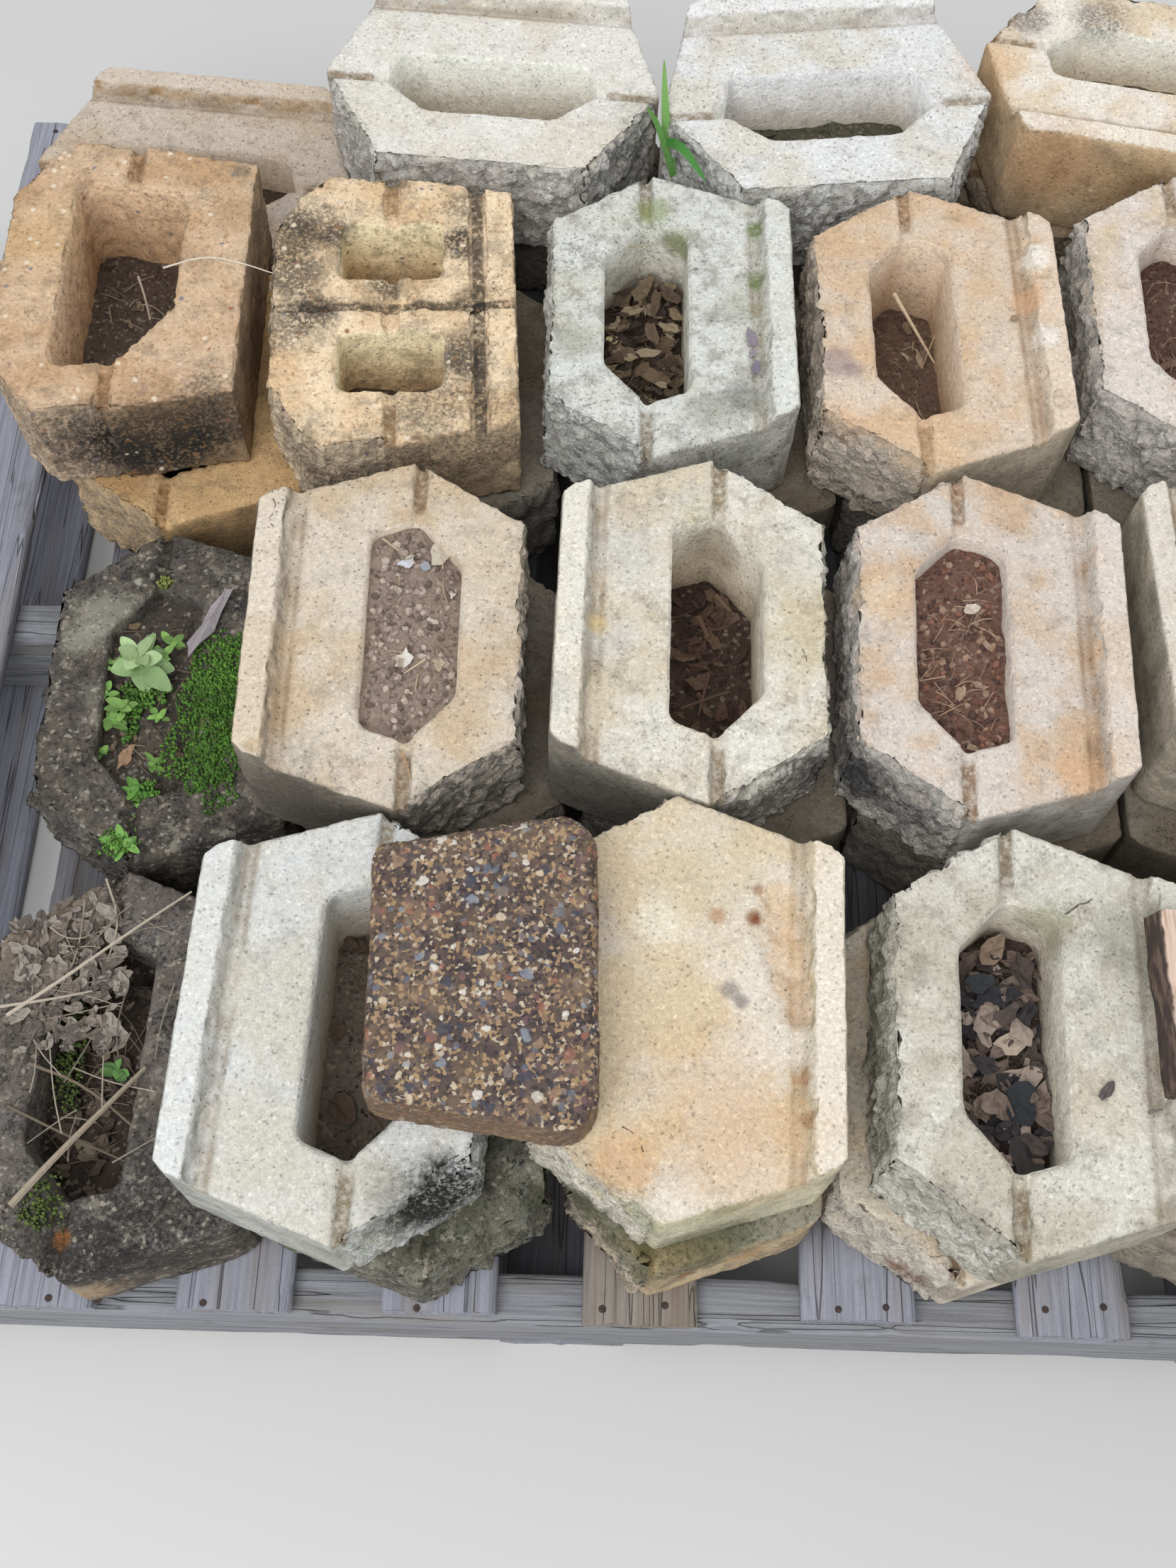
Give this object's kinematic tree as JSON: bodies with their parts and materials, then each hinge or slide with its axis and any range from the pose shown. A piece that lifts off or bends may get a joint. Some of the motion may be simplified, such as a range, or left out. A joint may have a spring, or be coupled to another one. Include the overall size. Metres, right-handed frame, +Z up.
{
  "type": "loaded pallet of concrete wall blocks",
  "caption": "Timber pallet carrying two courses of weathered split-face concrete wall blocks with open cores and raised rear lips, with a cobble paver and a timber offcut on top.",
  "frame": {"origin": "centre of the pallet's underside, on the floor", "axes": "+Z up; +X along the bearers to the right, +Y from the front bearer towards the rear bearer"},
  "size_m": [1.2278, 1.1911, 0.366],
  "materials": {
    "weathered_board": "weathered grey, rough",
    "weathered_bearer": "weathered grey, rough",
    "sawn_offcut": "rough sawn, with bark on one edge",
    "cobble_concrete": "coarse exposed grain",
    "tan_concrete": "pitted, weathered",
    "wall_block_concrete": "dry, weathered, split faces"
  },
  "bodies": {
    "root": {"bearer_front": "weathered_bearer", "bearer_middle": "weathered_bearer", "bearer_rear": "weathered_bearer", "bottom_board_1": "weathered_board", "bottom_board_2": "weathered_board", "bottom_board_3": "weathered_board", "cobble_paver": "cobble_concrete", "deck_board_1": "weathered_board", "deck_board_2": "weathered_board", "deck_board_3": "weathered_board", "deck_board_4": "weathered_board", "deck_board_5": "weathered_board", "deck_board_6": "weathered_board", "deck_board_7": "weathered_board", "deck_board_8": "weathered_board", "lower_row1_block1": "wall_block_concrete", "lower_row1_block2": "wall_block_concrete", "lower_row1_block3": "wall_block_concrete", "lower_row1_block4": "wall_block_concrete", "lower_row1_block5": "wall_block_concrete", "lower_row2_block1": "wall_block_concrete", "lower_row2_block2": "wall_block_concrete", "lower_row2_block3": "wall_block_concrete", "lower_row2_block4": "wall_block_concrete", "lower_row2_block5": "wall_block_concrete", "lower_row3_block1": "wall_block_concrete", "lower_row3_block2": "wall_block_concrete", "lower_row3_block3": "wall_block_concrete", "lower_row3_block4": "wall_block_concrete", "lower_row3_block5": "wall_block_concrete", "lower_row4_block1": "wall_block_concrete", "lower_row4_block2": "wall_block_concrete", "lower_row4_block3": "wall_block_concrete", "lower_row4_block4": "wall_block_concrete", "timber_offcut": "sawn_offcut", "upper_row1_block2": "wall_block_concrete", "upper_row1_block3": "wall_block_concrete", "upper_row1_block4": "wall_block_concrete", "upper_row1_block5": "wall_block_concrete", "upper_row2_block2": "wall_block_concrete", "upper_row2_block3": "wall_block_concrete", "upper_row2_block4": "wall_block_concrete", "upper_row2_block5": "wall_block_concrete", "upper_row3_block1": "tan_concrete", "upper_row3_block2": "tan_concrete", "upper_row3_block3": "wall_block_concrete", "upper_row3_block4": "wall_block_concrete", "upper_row3_block5": "wall_block_concrete", "upper_row4_block2": "wall_block_concrete", "upper_row4_block3": "wall_block_concrete", "upper_row4_block4": "wall_block_concrete"}
  },
  "joints": []
}
